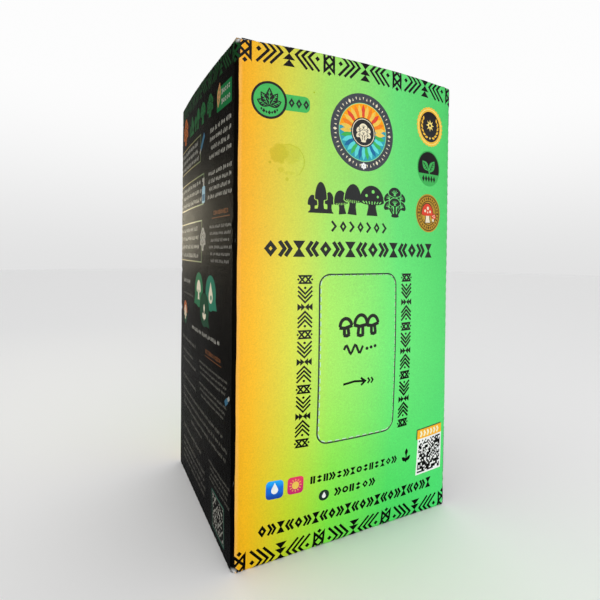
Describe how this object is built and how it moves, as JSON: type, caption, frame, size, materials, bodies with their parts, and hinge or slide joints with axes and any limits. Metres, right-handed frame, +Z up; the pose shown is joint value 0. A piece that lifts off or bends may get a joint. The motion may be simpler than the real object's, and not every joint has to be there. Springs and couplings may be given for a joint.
{
  "type": "boxed mushroom grow kit",
  "caption": "Closed printed folding carton with bowed walls, a perforated window panel, a hinged tuck lid, a snap-lock bottom and a film bag of colonised substrate inside.",
  "frame": {"origin": "middle of the footprint at the height of the surface the carton stands on", "axes": "+Z up, -Y out of the front wall with the window, +X to the right seen from the front"},
  "size_m": [0.156, 0.1726, 0.2878],
  "materials": {
    "printed_board": "satin",
    "black_board": "satin",
    "plain_board": "matte",
    "mycelium": "matte",
    "bag_film": "gloss",
    "filter_paper": "matte"
  },
  "bodies": {
    "carton": {"carton_sleeve": "printed_board", "window_panel": "printed_board", "bottom_flap_front": "plain_board", "bottom_flap_rear": "plain_board", "bottom_flap_left": "plain_board", "bottom_flap_right": "plain_board", "substrate_block": "mycelium", "grow_bag": "bag_film", "filter_patch": "filter_paper"},
    "lid": {"lid": "black_board"},
    "tuck_flap": {"tuck_flap": "black_board"},
    "dust_flap_left": {"dust_flap_left": "black_board"},
    "dust_flap_right": {"dust_flap_right": "printed_board"}
  },
  "joints": [
    {"name": "lid_hinge", "type": "hinge", "parent": "carton", "child": "lid", "pos_m": [0, 0.07425, 0.287], "axis": [-1, 0, 0], "range_deg": [0, 180]},
    {"name": "tuck_crease", "type": "hinge", "parent": "lid", "child": "tuck_flap", "pos_m": [0, -0.07225, 0.287], "axis": [-1, 0, 0], "range_deg": [0, 45]},
    {"name": "dust_crease_left", "type": "hinge", "parent": "carton", "child": "dust_flap_left", "pos_m": [-0.0723, 0, 0.28505], "axis": [0, -1, 0], "range_deg": [0, 90]},
    {"name": "dust_crease_right", "type": "hinge", "parent": "carton", "child": "dust_flap_right", "pos_m": [0.0723, 0, 0.28505], "axis": [0, 1, 0], "range_deg": [0, 90]}
  ],
  "couplings": [
    {"joint": "tuck_crease", "follows": "lid_hinge", "ratio": 0.25},
    {"joint": "dust_crease_left", "follows": "lid_hinge", "ratio": 0.5},
    {"joint": "dust_crease_right", "follows": "lid_hinge", "ratio": 0.5}
  ]
}
